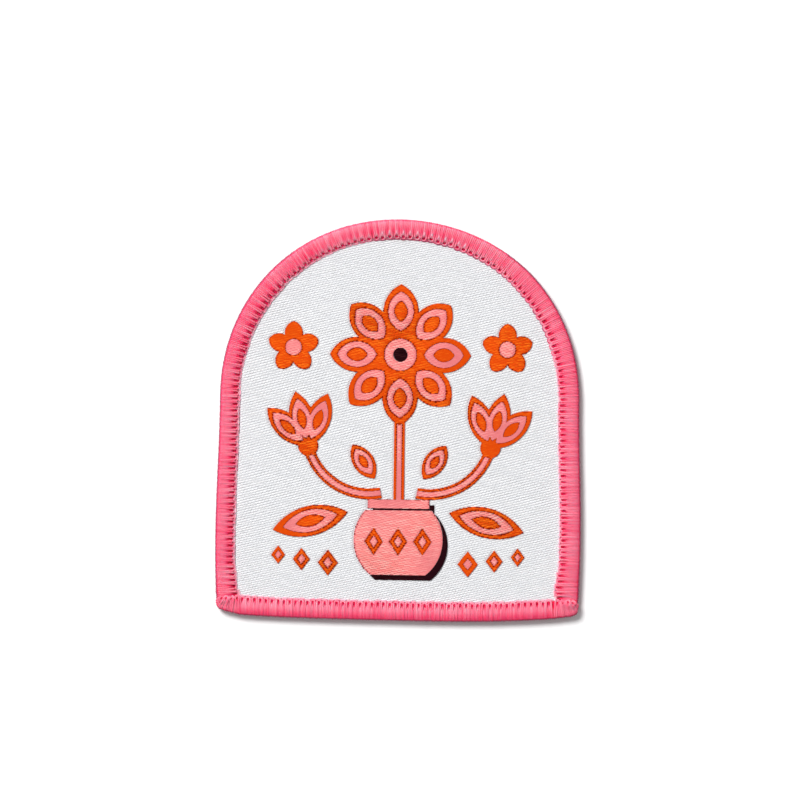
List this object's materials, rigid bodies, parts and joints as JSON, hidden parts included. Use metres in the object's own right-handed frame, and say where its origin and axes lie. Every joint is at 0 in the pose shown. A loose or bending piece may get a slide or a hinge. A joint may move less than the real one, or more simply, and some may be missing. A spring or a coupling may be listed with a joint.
{
  "type": "woven patch",
  "caption": "Flat arched cloth patch with a flowers-in-a-vase weave on white and a thick pink overlocked edge, for sewing or ironing onto clothing.",
  "frame": {"origin": "under the middle of the patch's width and height, on the plane of its back", "axes": "+X to the right across the patch as it is seen, +Y up towards the top of the arch, +Z out of its face"},
  "size_m": [0.069, 0.076, 0.0024],
  "materials": {
    "white_weave": "satin woven polyester",
    "pink_edging": "thick bright pink polyester thread",
    "orange_weave": "satin woven polyester",
    "pink_weave": "satin woven polyester",
    "plum_weave": "satin woven polyester"
  },
  "bodies": {
    "root": {"ground_cloth": "white_weave", "merrowed_edge": "pink_edging", "purl_chain": "pink_edging", "orange_weft": "orange_weave", "pink_weft": "pink_weave", "plum_weft": "plum_weave"}
  },
  "joints": []
}
